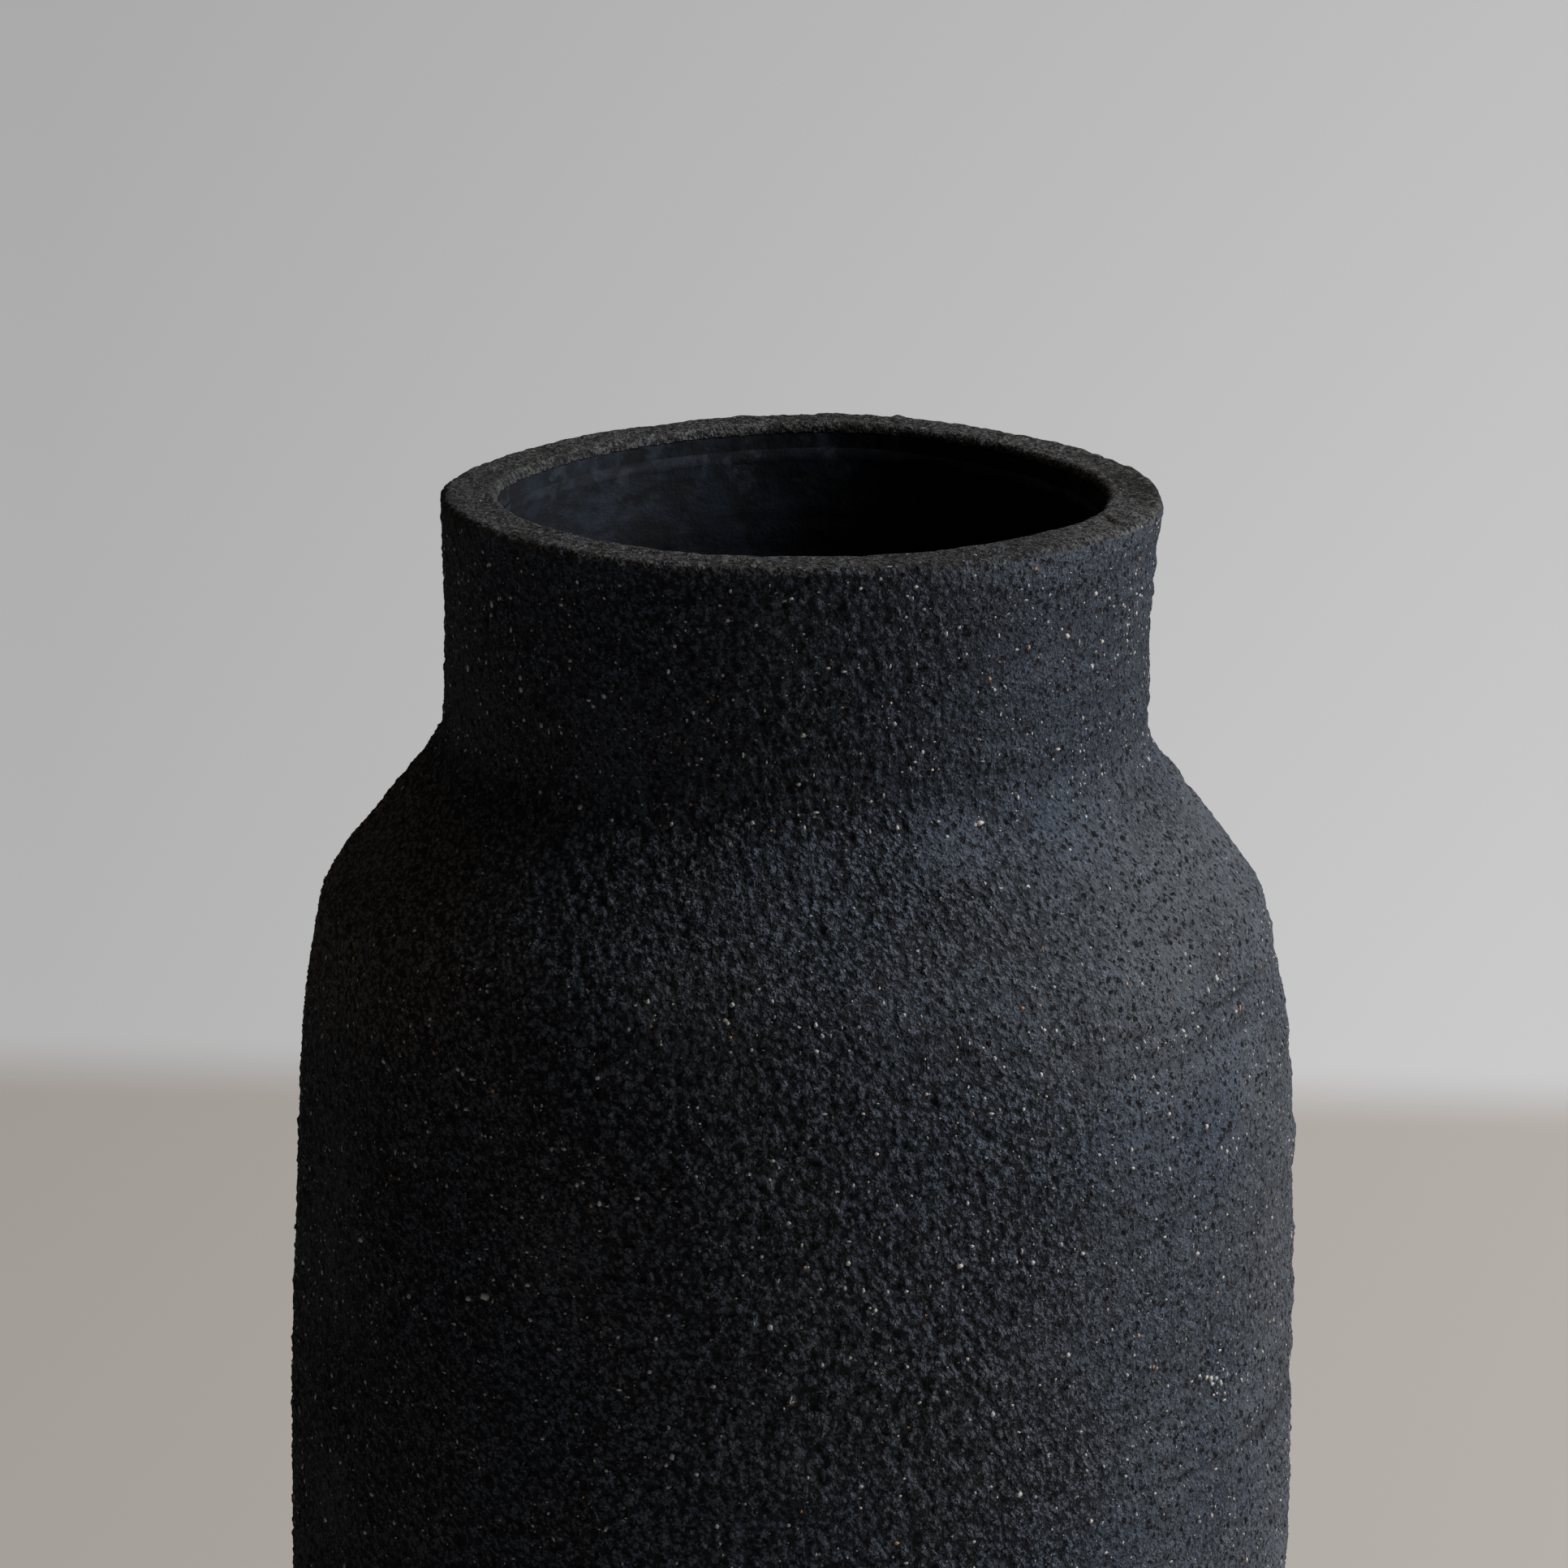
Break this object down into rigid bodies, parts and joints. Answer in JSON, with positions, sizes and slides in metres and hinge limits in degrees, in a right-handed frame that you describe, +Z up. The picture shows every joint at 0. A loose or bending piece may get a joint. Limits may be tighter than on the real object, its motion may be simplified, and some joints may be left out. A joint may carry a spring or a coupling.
{
  "type": "stoneware vase",
  "caption": "Wide-necked matte black stoneware vase: near-cylindrical body, sloped shoulder, short flared neck, slip-coated inside, open at the top, flat foot.",
  "frame": {"origin": "centre of the foot's underside, on the surface that the vase stands on", "axes": "+Z up along the vase's axis towards the mouth; -Y faces the viewer; +X to the viewer's right"},
  "size_m": [0.127, 0.127, 0.22],
  "materials": {
    "black_stoneware": "dry matte black stoneware with coarse grog, pits and pale specks",
    "rim_clay": "bare dry grogged clay, browner and coarser than the wall",
    "foot_clay": "dry matte clay, wiped smoother under the foot",
    "slip_liner": "brushed blue-black slip, smoother than the wall"
  },
  "bodies": {
    "root": {"base_slab": "foot_clay", "base_coil": "black_stoneware", "wall_course_1": "black_stoneware", "wall_course_2": "black_stoneware", "wall_course_3": "black_stoneware", "wall_course_4": "black_stoneware", "wall_course_5": "black_stoneware", "wall_course_6": "black_stoneware", "shoulder": "black_stoneware", "neck_lute": "black_stoneware", "neck_collar": "black_stoneware", "rim_coil": "rim_clay", "inner_liner": "slip_liner"}
  },
  "joints": []
}
